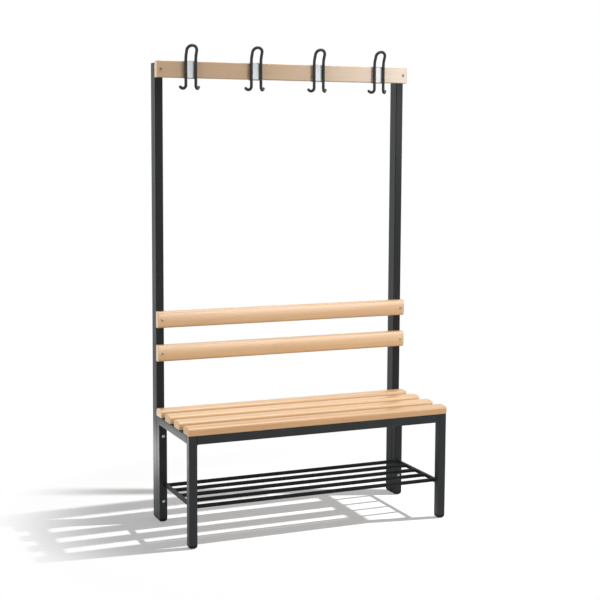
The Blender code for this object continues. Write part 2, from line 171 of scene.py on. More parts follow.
# beech: rings round a pith outside the board, soft streaks, fine fibres and short ray flecks
beech = {
    "pale": colour(0.690, 0.425, 0.198),
    "warm": colour(0.550, 0.296, 0.118),
    "fleck": colour(0.400, 0.205, 0.095),
    # pale and tan wood: tones of sapwood and heartwood; on the hook rail they also carry painted light and
    # shade, and the pale one is painted light on the end faces
    "paleWoodAndLight": colour(0.930, 0.790, 0.610),
    "tanWoodAndShade": colour(0.590, 0.372, 0.196),
    "ringGap": 0.0052,
    "ringWander": 0.016,
    "lateWood": 2.2,  # the higher, the later in a ring the dark wood starts
    "sideShift": 0.37,
    "wanders": ((1.3, 16.0, 16.0), 2.0),
    "streaks": ((2.2, 95.0, 95.0), 2.0),
    "fibres": ((13.0, 1050.0, 1050.0), 3.0, 0.6),
    "flecks": ((300.0, 2100.0, 2100.0), 1.0),
    "streakSpan": (0.30, 0.72),
    "fibreSpan": (0.30, 0.75),
    "fleckSpan": (0.60, 0.70),
    "endSpan": (0.55, 0.90),
    "tone": {"late": 0.26, "streak": 0.34, "fibre": 0.22},
    "fleckShare": 0.30,
    "height": {"fibre": 0.7, "fleck": -0.6, "late": -0.25},
    "bump": (0.16, 0.0004),
    "roughness": {"least": 0.48, "fibre": 0.14, "end": 0.12},
    "fixed": {"Coat Weight": 1.0, "Coat Roughness": 0.36, "Coat IOR": 1.80, "IOR": 1.5},
}
railToneAndLight = {  # the hook rail runs from darker tan at the left to pale at the right: partly the tone of heartwood and sapwood, partly painted light, darker where less light falls at the left and a painted sheen on the pale right end; the spans are in x
    "tanWoodAndShade": {"least": 0.45, "right": -0.45},
    "tanWoodAndShadeSpan": (-0.30, 0.30),
    "paleWoodAndLight": {"least": 0.16, "right": 0.33},
    "paleWoodAndLightSpan": (-0.15, 0.50),
}
# each board: the pith from its middle in y and z, lean of the pith along x, tone, painted light on the ends
# (how much paler the end faces are painted, as if lit from the left and shining), shift of the pattern
boards = {
    "seat_slat_1": {"pith": (0.012, -0.085), "lean": 0.010, "tone": 0.44, "end": 0.00, "shift": 0.0},
    "seat_slat_2": {"pith": (-0.030, -0.070), "lean": -0.014, "tone": -0.04, "end": 0.12, "shift": 1.7},
    "seat_slat_3": {"pith": (0.004, -0.110), "lean": 0.008, "tone": -0.10, "end": 0.00, "shift": 3.1},
    "seat_slat_4": {"pith": (0.040, -0.080), "lean": 0.012, "tone": -0.08, "end": 0.26, "shift": 4.9},
    "backrest_slat_lower": {"pith": (0.090, -0.008), "lean": -0.009, "tone": 0.00, "end": 0.50, "shift": 6.2},
    "backrest_slat_upper": {"pith": (0.100, 0.022), "lean": 0.011, "tone": 0.18, "end": 0.44, "shift": 7.7},
    "hook_rail": {"pith": (0.060, 0.004), "lean": 0.016, "tone": 0.12, "end": 0.22, "shift": 9.4},
}


def beechFinish(board, facts):
    material, shader, start, place = newFinish("beech_" + board, beech["fixed"])
    low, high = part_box(board)
    middle = (low + high) / 2
    pith = (0.0, middle.y + facts["pith"][0], middle.z + facts["pith"][1])
    moved = place.vector("ADD", (facts["shift"], facts["shift"] * beech["sideShift"], 0.0))
    fromPith = place.vector("SUBTRACT", pith)
    across, up = fromPith.axis(1), fromPith.axis(2)
    radius = (across * across + up * up) ** 0.5
    wander = moved.noise(*beech["wanders"]) * beech["ringWander"]
    ring = ((radius + wander + place.axis(0) * facts["lean"]) / beech["ringGap"]).fract()
    late = ring ** beech["lateWood"]
    streak = moved.noise(*beech["streaks"]).ramp(*beech["streakSpan"])
    fibre = moved.noise(*beech["fibres"])
    fleck = moved.noise(*beech["flecks"]).ramp(*beech["fleckSpan"])
    tone = sumOf(beech["tone"], late=late, streak=streak, fibre=fibre.ramp(*beech["fibreSpan"]))
    wood = (tone + facts["tone"]).tint(beech["pale"], beech["warm"])
    # painted light on the hook rail: darker to the left and paler to the right, as if lit more from the right
    # with a sheen on its right end, on top of the tone of heartwood and sapwood
    if board == "hook_rail":
        for kind in ("tanWoodAndShade", "paleWoodAndLight"):
            right = place.axis(0).ramp(*railToneAndLight[kind + "Span"])
            wood = sumOf(railToneAndLight[kind], right=right).tint(wood, beech[kind])
    wood = (fleck * beech["fleckShare"]).tint(wood, beech["fleck"])
    normal = start.node("ShaderNodeNewGeometry", output="Normal")
    # end faces: rougher, and their paler colour is painted light, standing for the light from the left and
    # the lacquer's sheen on them
    end = abs(normal.axis(0)).ramp(*beech["endSpan"])
    finishShader(start, shader, {
        "Base Color": (end * facts["end"]).tint(wood, beech["paleWoodAndLight"]),
        "Roughness": sumOf(beech["roughness"], fibre=fibre, end=end),
        "Normal": sumOf(beech["height"], fibre=fibre, fleck=fleck, late=late).bump(*beech["bump"]),
    })
    return material


# powder coat: near black grey with a fine orange peel, scuffed near the floor; on the rack a darker, less
# glossy copy of the same coat, which is painted shade for the seat's shadow on the bars
powderCoat = {
    "tube": {"deep": colour(0.0165, 0.0182, 0.0198), "raised": colour(0.0270, 0.0292, 0.0312), "gloss": 0.28},
    # painted shade: the rack's copy of the coat is darker and duller, as the bars lie in the shadow of the
    # seat
    "rack": {"deep": colour(0.0090, 0.0100, 0.0110), "raised": colour(0.0150, 0.0164, 0.0178), "gloss": 0.10},
    "scuff": colour(0.062, 0.064, 0.066),
    "clouds": ((9.0, 9.0, 5.0), 3.0),
    "peels": ((620.0, 620.0, 620.0), 2.0, 0.55),
    "scuffs": ((240.0, 240.0, 55.0), 4.0, 0.65),
    "cloudSpan": (0.30, 0.70),
    "peelSpan": (0.35, 0.75),
    "scuffSpan": (0.60, 0.72),
    "floorSpan": (0.015, 0.09),
    "tone": {"cloud": 0.55, "peel": 0.45},
    "scuffed": {"least": 0.08, "low": 0.5},
    "scuffShare": 0.5,
    "bump": (0.16, 0.00025),
    "roughness": {"least": 0.36, "cloud": 0.10, "peel": 0.08, "scuff": 0.20},
    "fixed": {"IOR": 1.5},
}


def powderFinish(kind):
    facts = powderCoat[kind]
    material, shader, start, place = newFinish("powder_coat_" + kind, powderCoat["fixed"])
    shader.inputs["Specular IOR Level"].default_value = facts["gloss"]
    cloud, peel = place.noise(*powderCoat["clouds"]), place.noise(*powderCoat["peels"])
    low = 1.0 - place.axis(2).ramp(*powderCoat["floorSpan"])
    scuff = place.noise(*powderCoat["scuffs"]).ramp(*powderCoat["scuffSpan"])
    scuff = scuff * sumOf(powderCoat["scuffed"], low=low)
    tone = sumOf(powderCoat["tone"], cloud=cloud.ramp(*powderCoat["cloudSpan"]),
                 peel=peel.ramp(*powderCoat["peelSpan"]))
    coat = tone.tint(facts["deep"], facts["raised"])
    finishShader(start, shader, {
        "Base Color": (scuff * powderCoat["scuffShare"]).tint(coat, powderCoat["scuff"]),
        "Roughness": sumOf(powderCoat["roughness"], cloud=cloud, peel=peel, scuff=scuff),
        "Normal": peel.bump(*powderCoat["bump"]),
    })
    return material


# moulded feet and caps: black plastic with a fine spark-eroded grain
mouldedPlastic = {
    "deep": colour(0.008, 0.008, 0.009),
    "worn": colour(0.030, 0.030, 0.031),
    "grains": ((1500.0, 1500.0, 1500.0), 2.0, 0.6),
    "patches": ((60.0, 60.0, 60.0), 3.0),
    "patchSpan": (0.40, 0.70),
    "floorSpan": (0.0, 0.012),
    "tone": {"grain": 0.30, "worn": 0.60},
    "bump": (0.25, 0.00015),
    "roughness": {"least": 0.50, "grain": 0.12, "worn": 0.12},
    "fixed": {"IOR": 1.48, "Specular IOR Level": 0.20},
}


def plasticFinish():
    material, shader, start, place = newFinish("moulded_plastic", mouldedPlastic["fixed"])
    grain = place.noise(*mouldedPlastic["grains"])
    patch = place.noise(*mouldedPlastic["patches"]).ramp(*mouldedPlastic["patchSpan"])
    worn = (1.0 - place.axis(2).ramp(*mouldedPlastic["floorSpan"])) * patch
    tone = sumOf(mouldedPlastic["tone"], grain=grain, worn=worn)
    finishShader(start, shader, {
        "Base Color": tone.tint(mouldedPlastic["deep"], mouldedPlastic["worn"]),
        "Roughness": sumOf(mouldedPlastic["roughness"], grain=grain, worn=worn),
        "Normal": grain.bump(*mouldedPlastic["bump"]),
    })
    return material


# hooks: thick dipped coating on steel wire, slightly wavy, rubbed at the curls
hookCoating = {
    "deep": colour(0.0230, 0.0238, 0.0245),
    "rubbed": colour(0.046, 0.047, 0.048),
    "waves": ((130.0, 130.0, 90.0), 2.0),
    "specks": ((900.0, 900.0, 900.0), 2.0),
    "rubs": ((210.0, 210.0, 210.0), 3.0),
    "rubSpan": (0.48, 0.70),
    "curlSpan": (1.588, 1.606),
    "rubShare": {"least": 0.25, "curl": 0.55},
    "tone": {"rubbed": 0.7, "speck": 0.2},
    "height": {"wave": 0.8, "speck": 0.08},
    "bump": (0.20, 0.0009),
    "roughness": {"least": 0.40, "wave": 0.10, "rubbed": 0.15},
    "fixed": {"IOR": 1.5, "Specular IOR Level": 0.42},
}


def hookFinish():
    material, shader, start, place = newFinish("dipped_hook_wire", hookCoating["fixed"])
    wave, speck = place.noise(*hookCoating["waves"]), place.noise(*hookCoating["specks"])
    curl = 1.0 - place.axis(2).ramp(*hookCoating["curlSpan"])
    rubbed = place.noise(*hookCoating["rubs"]).ramp(*hookCoating["rubSpan"])
    rubbed = rubbed * sumOf(hookCoating["rubShare"], curl=curl)
    tone = sumOf(hookCoating["tone"], rubbed=rubbed, speck=speck)
    finishShader(start, shader, {
        "Base Color": tone.tint(hookCoating["deep"], hookCoating["rubbed"]),
        "Roughness": sumOf(hookCoating["roughness"], wave=wave, rubbed=rubbed),
        "Normal": sumOf(hookCoating["height"], wave=wave, speck=speck).bump(*hookCoating["bump"]),
    })
    return material


# clips: pale stove enamel, a little grey where the wire rubs
clipEnamel = {
    "clean": colour(0.560, 0.570, 0.580),
    "grey": colour(0.425, 0.435, 0.445),
    "clouds": ((70.0, 70.0, 40.0), 3.0),
    "specks": ((1300.0, 1300.0, 1300.0), 2.0),
    "rubs": ((300.0, 300.0, 45.0), 4.0, 0.6),
    "cloudSpan": (0.30, 0.75),
    "rubSpan": (0.56, 0.72),
    "tone": {"cloud": 0.30, "rub": 0.25, "speck": 0.08},
    "height": {"cloud": 0.5, "speck": 0.1},
    "bump": (0.10, 0.0004),
    "roughness": {"least": 0.30, "cloud": 0.10, "rub": 0.12},
    "fixed": {"IOR": 1.5, "Coat Weight": 0.15, "Coat Roughness": 0.20},
}


def clipFinish():
    material, shader, start, place = newFinish("clip_enamel_pale", clipEnamel["fixed"])
    cloud, speck = place.noise(*clipEnamel["clouds"]), place.noise(*clipEnamel["specks"])
    rub = place.noise(*clipEnamel["rubs"]).ramp(*clipEnamel["rubSpan"])
    tone = sumOf(clipEnamel["tone"], cloud=cloud.ramp(*clipEnamel["cloudSpan"]), rub=rub, speck=speck)
    finishShader(start, shader, {
        "Base Color": tone.tint(clipEnamel["clean"], clipEnamel["grey"]),
        "Roughness": sumOf(clipEnamel["roughness"], cloud=cloud, rub=rub),
        "Normal": sumOf(clipEnamel["height"], cloud=cloud, speck=speck).bump(*clipEnamel["bump"]),
    })
    return material


# bolts in bright zinc; the screws in the boards in a dark bronzed zinc
zinc = {
    "post_bolt": {"bright": colour(0.700, 0.690, 0.665), "dull": colour(0.480, 0.470, 0.450)},
    "screw": {"bright": colour(0.400, 0.320, 0.230), "dull": colour(0.220, 0.176, 0.130)},
    "clouds": ((320.0, 320.0, 320.0), 3.0),
    "grains": ((2600.0, 2600.0, 2600.0), 2.0),
    "cloudSpan": (0.35, 0.70),
    "tone": {"cloud": 0.7, "grain": 0.3},
    "bump": (0.12, 0.0001),
    "roughness": {"least": 0.26, "cloud": 0.16, "grain": 0.06},
    "fixed": {"Metallic": 1.0},
}


def zincFinish(kind):
    material, shader, start, place = newFinish("zinc_" + kind, zinc["fixed"])
    cloud, grain = place.noise(*zinc["clouds"]), place.noise(*zinc["grains"])
    tone = sumOf(zinc["tone"], cloud=cloud.ramp(*zinc["cloudSpan"]), grain=grain)
    finishShader(start, shader, {
        "Base Color": tone.tint(zinc[kind]["bright"], zinc[kind]["dull"]),
        "Roughness": sumOf(zinc["roughness"], cloud=cloud, grain=grain),
        "Normal": grain.bump(*zinc["bump"]),
    })
    return material


def setFinish(obj, material):
    if not obj.material_slots:
        obj.data.materials.append(material)
    obj.material_slots[0].material = material


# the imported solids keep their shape; this joins their triangles and rounds the shading of small bends
softShading = {"join": 0.00002, "sharpAngle": radians(32), "flatWeight": 80}


def softGroup():
    group = bpy.data.node_groups.new("softShading", "GeometryNodeTree")
    for way in ("INPUT", "OUTPUT"):
        group.interface.new_socket("Geometry", in_out=way, socket_type="NodeSocketGeometry")
    made = Feed(group)
    solid = made.node("NodeGroupInput")
    solid = made.node("GeometryNodeRemoveAttribute", None, {"Geometry": solid, "Name": "custom_normal"})
    solid = made.node("GeometryNodeMergeByDistance", None,
                      {"Geometry": solid, "Distance": softShading["join"]})
    solid = made.node("GeometryNodeSetShadeSmooth", {"domain": "FACE"},
                      {"Geometry": solid, "Shade Smooth": True})
    angle = made.node("GeometryNodeInputMeshEdgeAngle")
    hard = made.node("FunctionNodeCompare", {"data_type": "FLOAT", "operation": "GREATER_THAN"},
                     {0: angle, 1: softShading["sharpAngle"]})
    solid = made.node("GeometryNodeSetShadeSmooth", {"domain": "EDGE"},
                      {"Geometry": solid, "Selection": hard, "Shade Smooth": False})
    made.node("NodeGroupOutput", None, {"Geometry": solid})
    return group


def flatFaces(piece):
    flat = piece.modifiers.new("flatFaces", "WEIGHTED_NORMAL")
    flat.keep_sharp = True
    flat.weight = softShading["flatWeight"]


def softenSolids():
    group = softGroup()
    for solid in nodes.values():
        solid.modifiers.new("softShading", "NODES").node_group = group
        flatFaces(solid)


def newPiece(name, mesh, material, replaced=()):
    piece = bpy.data.objects.new(name, mesh)
    scene.collection.objects.link(piece)
    setFinish(piece, material)
    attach(piece, "root")
    if replaced:
        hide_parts(*replaced)
    return piece


def skin(bm, rings, closed=False):  # faces through rings of equal length, as a loop or with both ends shut
    for one, two in zip(rings, rings[1:] + rings[:1] if closed else rings[1:]):
        for here in range(len(one)):
            beside = (here + 1) % len(one)
            bm.faces.new((one[here], one[beside], two[beside], two[here]))
    if not closed:
        bm.faces.new(rings[0])
        bm.faces.new(rings[-1])


sharpAngles = {"solid": radians(35), "wire": radians(70), "weld": radians(50), "fastener": radians(30)}


def smoothMesh(mesh, kind):
    mesh.shade_smooth()
    mesh.set_sharp_from_angle(angle=sharpAngles[kind])


def meshFrom(bm, name, kind="solid"):
    bmesh.ops.recalc_face_normals(bm, faces=bm.faces[:])
    mesh = bpy.data.meshes.new(name)
    bm.to_mesh(mesh)
    bm.free()
    smoothMesh(mesh, kind)
    return mesh


# slats: crowned boards, rounder than the solids along the edges that show
slat = {
    "seatEdge": 0.010,
    "backrestEdge": 0.008,
    "hiddenEdge": 0.003,
    "camber": 0.0035,
    "endRound": 0.0025,
    "shoulder": 0.0100,  # a last ring this far from the end keeps the shading of the board straight
    "steps": 8,
    "endSteps": 4,
}


def slatOutline(half, thick, edge, inset):
    back = slat["hiddenEdge"]
    crown = (half ** 2 + slat["camber"] ** 2) / (2 * slat["camber"])  # radius of the crowned face
    turn = asin((half - edge) / (crown - edge))
    up = thick - crown + (crown - edge) * cos(turn)
    arcs = (
        (half - back, back, back, -pi / 2, 0.0),
        (half - edge, up, edge, 0.0, pi / 2 - turn),
        (0.0, thick - crown, crown, pi / 2 - turn, pi / 2 + turn),
        (edge - half, up, edge, pi / 2 + turn, pi),
        (back - half, back, back, pi, 3 * pi / 2),
    )
    outline = []
    for across, rise, radius, start, end in arcs:
        skip = 1 if radius == crown else 0  # the crown shares its ends with the edges
        for step in range(skip, slat["steps"] + 1 - skip):
            angle = start + (end - start) * step / slat["steps"]
            outline.append((across + (radius - inset) * cos(angle), rise + (radius - inset) * sin(angle)))
    return outline


def buildSlats():
    names = [name for name in boards if "slat" in name]
    turns = [pi / 2 * step / slat["endSteps"] for step in range(slat["endSteps"] + 1)]
    for name in names:
        low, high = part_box(name)
        middle, size, bow = (low + high) / 2, high - low, slat["endRound"]
        upright = size.z > size.y  # the backrest slats stand, and face the front
        half, thick = max(size.y, size.z) / 2, min(size.y, size.z)
        edge = slat["backrestEdge"] if upright else slat["seatEdge"]
        ends = [(high.x - bow * (1 - cos(turn)), bow * (1 - sin(turn))) for turn in turns]
        ends.append((high.x - slat["shoulder"], 0.0))
        bm = bmesh.new()
        rings = []
        for x, inset in [(-x, inset) for x, inset in ends] + ends[::-1]:
            outline = slatOutline(half, thick, edge, inset)
            if upright:
                ring = [(x, high.y - rise, middle.z + across) for across, rise in outline]
            else:
                ring = [(x, middle.y + across, low.z + rise) for across, rise in outline]
            rings.append([bm.verts.new(point) for point in ring])
        skin(bm, rings)
        made = name.replace("_slat_", "Slat")
        board = newPiece(made, meshFrom(bm, made), nodes[name].material_slots[0].material, [name])
        flatFaces(board)
    print("slats built:", len(names))


# wire hooks: one wire, its arch leaning forward and its two ends curled outward and back
hook = {
    "wire": 0.011,
    "span": 0.0375,
    "rise": 0.0599,
    "drop": 0.0425,
    "leanStart": 0.006,
    "leanRadius": 0.040,
    "lean": radians(25),
    "curlRadius": 0.012,
    "curlTurn": radians(135),
    "curlTip": 0.008,
    "splay": radians(45),
    "sides": 20,
    "archSteps": 14,
    "straightSteps": 4,
    "bendSteps": 8,
    "legSteps": 12,
    "curlSteps": 18,
    "tipTurns": (0, 20, 38, 54, 68, 79, 87),
    "railTop": 1.6795,
    "railHeight": 0.060,
    "wireY": 0.12625,
    "places": (-0.3765, -0.1255, 0.1255, 0.3765),
}


def hookArch():  # half of the arch from its top down to the rail, bent forward
    half, radius, lean = hook["span"] / 2, hook["leanRadius"], hook["lean"]
    bend = radius * lean  # length of wire in the bend under the leaning arch
    straight = (hook["rise"] - hook["wire"] / 2 - hook["leanStart"] - radius * sin(lean)) / cos(lean)
    height = bend + straight
    turns = [pi / 2 * step / hook["archSteps"] for step in range(hook["archSteps"] + 1)]
    flat = [(half * sin(turn), height - half + half * cos(turn)) for turn in turns]
    for step in range(1, hook["straightSteps"] + 1):
        flat.append((half, bend + (height - half - bend) * (1 - step / hook["straightSteps"])))
    for step in range(1, hook["bendSteps"] + 1):
        flat.append((half, bend * (1 - step / hook["bendSteps"])))
    arch = []
    for x, along in flat:
        turn, past = min(along / radius, lean), max(along - bend, 0.0)
        arch.append(Vector((x, -radius * (1 - cos(turn)) - past * sin(lean),
                            hook["leanStart"] + radius * sin(turn) + past * cos(lean))))
    return arch


def hookRoute():
    route, half, curl = hookArch(), hook["span"] / 2, hook["curlRadius"]
    startZ = -hook["railHeight"] - hook["drop"] + hook["wire"] / 2 + curl
    topZ = hook["leanStart"]
    for step in range(1, hook["legSteps"]):
        route.append(Vector((half, 0.0, topZ + (startZ - topZ) * step / hook["legSteps"])))
    for step in range(hook["curlSteps"] + 1):
        turn = hook["curlTurn"] * step / hook["curlSteps"]
        out = curl * (1 - cos(turn))
        route.append(Vector((half + out * cos(hook["splay"]), out * sin(hook["splay"]),
                             startZ - curl * sin(turn))))
    thick = [1.0] * len(route)
    ahead = (route[-1] - route[-2]).normalized()
    end = route[-1]
    for turn in hook["tipTurns"]:  # rounded tip
        route.append(end + ahead * (hook["curlTip"] + hook["wire"] / 2 * (sin(radians(turn)) - 1)))
        thick.append(cos(radians(turn)))
    mirrored = [Vector((-point.x, point.y, point.z)) for point in route[:0:-1]]
    return mirrored + route, thick[:0:-1] + thick


def sweptWire(name, route, thick, radius, sides):
    bm = bmesh.new()
    rings = []
    side = None
    turns = [2 * pi * step / sides for step in range(sides)]
    for index, point in enumerate(route):
        before, after = route[max(index - 1, 0)], route[min(index + 1, len(route) - 1)]
        ahead = (after - before).normalized()
        side = ahead.orthogonal() if side is None else side - ahead * side.dot(ahead)
        side.normalize()
        over = ahead.cross(side)
        rings.append([bm.verts.new(point + (side * cos(turn) + over * sin(turn)) * radius * thick[index])
                      for turn in turns])
    skin(bm, rings)
    return meshFrom(bm, name, "wire")


def buildHooks(material):
    route, thick = hookRoute()
    for number, x in enumerate(hook["places"], 1):
        placed = [point + Vector((x, hook["wireY"], hook["railTop"])) for point in route]
        wire = sweptWire(f"hookWire{number}", placed, thick, hook["wire"] / 2, hook["sides"])
        newPiece(wire.name, wire, material, [f"hook_{number}"])
    print("hooks built:", len(hook["places"]))


# rack bars: drawn round, with broken edges at their ends
rackBar = {"diameter": 0.0140, "edge": 0.0005, "shoulder": 0.0020, "sides": 36}


def buildRackBars(material):
    names = [name for name in sorted(nodes) if name.startswith("rack_bar")]
    endThick = 1 - 2 * rackBar["edge"] / rackBar["diameter"]
    thick = [endThick, 1.0, 1.0, 1.0, 1.0, endThick]
    for number, name in enumerate(names, 1):
        low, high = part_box(name)
        middle, reach = (low + high) / 2, (high.x - low.x) / 2
        steps = (reach, reach - rackBar["edge"], reach - rackBar["shoulder"])
        xs = [-x for x in steps] + list(steps[::-1])
        route = [Vector((x, middle.y, middle.z)) for x in xs]
        bar = sweptWire(f"rackBar{number}", route, thick, rackBar["diameter"] / 2, rackBar["sides"])
        newPiece(bar.name, bar, material, [name])
    print("rack bars built:", len(names))


# moulded inserts: rounded feet under the legs and posts, caps on the posts, each with a ribbed plug
inserts = {
    "foot": {"head": 0.0120, "rise": 0.0114, "inset": 0.0095},
    "cap": {"head": 0.0030, "rise": 0.0012, "inset": 0.0012},
    "edge": 0.0004,
    "plug": 0.0023,
    "ribDepth": 0.0016,
    "ribWidth": 0.0012,
    "ribGap": 0.0045,
    "corner": 0.0030,
    "cornerGain": 0.35,  # gain of the corner's radius with the inset
    "cornerMost": 0.95,  # of half the width
    "cornerSteps": 8,
    "roundSteps": 12,
}


def insertProfile(kind, length):  # inset of the outline against the way in from the end that shows
    facts, edge, plug, rib = inserts[kind], inserts["edge"], inserts["plug"], inserts["ribWidth"]
    profile = []
    for step in range(inserts["roundSteps"] + 1):
        turn = pi / 2 * step / inserts["roundSteps"]
        profile.append((facts["inset"] * (1 - sin(turn)), facts["rise"] * (1 - cos(turn))))
    core = plug + inserts["ribDepth"]
    profile += [(0.0, facts["head"] - edge), (edge, facts["head"]), (core, facts["head"])]
    along = facts["head"] + inserts["ribGap"] / 2
    while along + rib * 2 < length:
        profile += [(core, along), (plug, along + rib / 2), (plug, along + rib), (core, along + rib * 2)]
        along += inserts["ribGap"]
    return profile + [(core, length - edge), (core + edge, length)]


def insertOutline(halfX, halfY, corner):
    outline = []
    steps = inserts["cornerSteps"]
    for quarter, (signX, signY) in enumerate(((1, 1), (-1, 1), (-1, -1), (1, -1))):
        for step in range(steps + 1):
            turn = pi / 2 * (quarter + step / steps)
            outline.append((signX * (halfX - corner) + corner * cos(turn),
                            signY * (halfY - corner) + corner * sin(turn)))
    return outline


def buildInserts(material):
    names = [name for name in sorted(nodes) if "foot" in name or "cap" in name]
    for name in names:
        low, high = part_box(name)
        kind = "foot" if "foot" in name else "cap"
        bm = bmesh.new()
        rings = []
        for inset, along in insertProfile(kind, high.z - low.z):
            halfX, halfY = (high.x - low.x) / 2 - inset, (high.y - low.y) / 2 - inset
            corner = min(inserts["corner"] + inset * inserts["cornerGain"],
                         min(halfX, halfY) * inserts["cornerMost"])
            z = low.z + along if kind == "foot" else high.z - along
            rings.append([bm.verts.new(((low.x + high.x) / 2 + x, (low.y + high.y) / 2 + y, z))
                          for x, y in insertOutline(halfX, halfY, corner)])
        skin(bm, rings)
        newPiece("insert_" + name, meshFrom(bm, "insert_" + name), material, [name])
    print("inserts built:", len(names))


# screws and bolts: turned heads with a pressed recess, on the shank that the solid has
fasteners = {
    "boardScrew": {"head": 0.0023, "shank": 0.0025, "crown": 0.35, "depth": 0.0016, "size": 0.0056,
                   "slit": 0.0013, "taper": 0.72},
    "postBolt": {"head": 0.0038, "shank": 0.0030, "crown": 0.55, "depth": 0.0022, "size": 0.0040,
                 "slit": 0.0, "taper": 1.0},  # no slit: a hexagon
    "rimStart": 0.90,  # of the head's height
    "rimWidth": 0.96,  # of the head's radius
    "point": 0.002,
    "pointWidth": 0.35,  # of the shank
    "crownSteps": 8,
    "roundSteps": 40,
    "above": 0.002,  # how far the cutter stands out of the head
    "spin": radians(37),  # from one recess to the next, so that no two line up
}


def turned(bm, profile):
    rings = []
    steps = fasteners["roundSteps"]
    turns = [2 * pi * step / steps for step in range(steps)]
    for radius, along in profile:
        if radius == 0:
            rings.append([bm.verts.new((0, 0, along))])
        else:
            rings.append([bm.verts.new((radius * cos(turn), radius * sin(turn), along)) for turn in turns])
    for one, two in zip(rings, rings[1:]):
        for here in range(steps):
            beside = (here + 1) % steps
            ring = (one[here % len(one)], one[beside % len(one)],
                    two[beside % len(two)], two[here % len(two)])
            corners = list(dict.fromkeys(ring))
            if len(corners) > 2:
                bm.faces.new(corners)


def recessCutter(facts):
    long, slit = facts["size"] / 2, facts["slit"] / 2
    if slit:
        outline = [(slit, slit), (slit, long), (-slit, long), (-slit, slit), (-long, slit), (-long, -slit),
                   (-slit, -slit), (-slit, -long), (slit, -long), (slit, -slit), (long, -slit), (long, slit)]
    else:
        reach = long / cos(pi / 6)
        outline = [(reach * cos(pi / 3 * turn), reach * sin(pi / 3 * turn)) for turn in range(6)]
    bm = bmesh.new()
    upper = [bm.verts.new((x, y, -fasteners["above"])) for x, y in outline]
    lower = [bm.verts.new((x * facts["taper"], y * facts["taper"], facts["depth"])) for x, y in outline]
    skin(bm, [upper, lower])
    return meshFrom(bm, "recessCutter")


def fastenerMesh(kind, headRadius, length):  # z runs from the top of the head into the wood or steel
    facts = fasteners[kind]
    head, shank = facts["head"], facts["shank"]
    crown = head * facts["crown"]
    profile = [(0, 0)]
    for step in range(1, fasteners["crownSteps"] + 1):
        turn = pi / 2 * step / fasteners["crownSteps"]
        profile.append((headRadius * sin(turn), crown * (1 - cos(turn))))
    profile += [(headRadius, head * fasteners["rimStart"]), (headRadius * fasteners["rimWidth"], head),
                (shank, head), (shank, length - fasteners["point"]),
                (shank * fasteners["pointWidth"], length), (0, length)]
    bm = bmesh.new()
    turned(bm, profile)
    blank = bpy.data.objects.new("headBlank", meshFrom(bm, "headBlank"))
    cutter = bpy.data.objects.new("headCutter", recessCutter(facts))
    for made in (blank, cutter):
        scene.collection.objects.link(made)
    cut = blank.modifiers.new("recess", "BOOLEAN")
    cut.operation, cut.solver, cut.object = "DIFFERENCE", "EXACT", cutter
    bpy.context.view_layer.update()
    mesh = bpy.data.meshes.new_from_object(blank.evaluated_get(bpy.context.evaluated_depsgraph_get()))
    mesh.name = kind
    smoothMesh(mesh, "fastener")
    for made in (blank, cutter):
        used = made.data
        bpy.data.objects.remove(made)
        bpy.data.meshes.remove(used)
    return mesh


def fastenerKind(name):
    return "postBolt" if "post_bolt" in name else "boardScrew"


def buildFasteners(finishes):
    meshes = {}
    names = [name for name in sorted(nodes) if "_screw" in name or "post_bolt" in name]
    for count, name in enumerate(names):
        low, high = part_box(name)
        middle, kind = (low + high) / 2, fastenerKind(name)
        upward = name.startswith("seat_screw")
        length = high.z - low.z if upward else high.y - low.y
        key = (kind, round(length, 5))
        if key not in meshes:
            meshes[key] = fastenerMesh(kind, (high.x - low.x) / 2, length)
        piece = newPiece("head_" + name, meshes[key], finishes[kind], [name])
        spin = Matrix.Rotation(fasteners["spin"] * count % (pi / 2), 4, "Z")
        if upward:
            piece.matrix_world = Matrix.Translation((middle.x, middle.y, low.z)) @ spin
        else:
            inward = Matrix.Rotation(-pi / 2, 4, "X")
            piece.matrix_world = Matrix.Translation((middle.x, low.y, middle.z)) @ inward @ spin
    print("fasteners built:", len(names))


# welds: small fillets where the bars and rails of the frame meet, under the coat
weld = {
    "leg": 0.0030,
    "ripple": 0.0011,
    "rippleDepth": 0.10,
    "endLeg": 0.55,  # of the leg, where a bead starts and stops
    "hollow": 1.6,
    "roundSteps": 5,
    "ringSteps": 48,
    "lineSteps": 40,
    "innerX": 0.470,  # the inner faces of the cross bars and legs
    "barZ": 0.139,
    "barRadius": 0.007,
    "barSink": 0.985,
    "barWalls": (0.8, 0.55),  # of the leg, along the bar and up the cross bar
    "crossBar": {"z": 0.133, "half": 0.0050, "x": 0.476},
    "sideRail": {"z": 0.3635, "half": 0.0115, "x": 0.485},
    "longRail": {"from": 0.0035, "length": 0.023},
}


def filletBead(bm, path, walls, closed=False):
    # path lies in the corner; walls gives the two directions that the bead runs up on at each point
    rings = []
    along = 0.0
    turns = [pi / 2 * step / weld["roundSteps"] for step in range(weld["roundSteps"] + 1)]
    for index, (point, (first, second)) in enumerate(zip(path, walls)):
        if index:
            along += (point - path[index - 1]).length
        leg = weld["leg"] * (1 + weld["rippleDepth"] * sin(pi * along / weld["ripple"]))
        if not closed and index in (0, len(path) - 1):
            leg *= weld["endLeg"]
        ring = [point + first * leg * cos(turn) ** weld["hollow"] + second * leg * sin(turn) ** weld["hollow"]
                for turn in turns]
        rings.append([bm.verts.new(place) for place in ring + [point]])
    skin(bm, rings, closed)


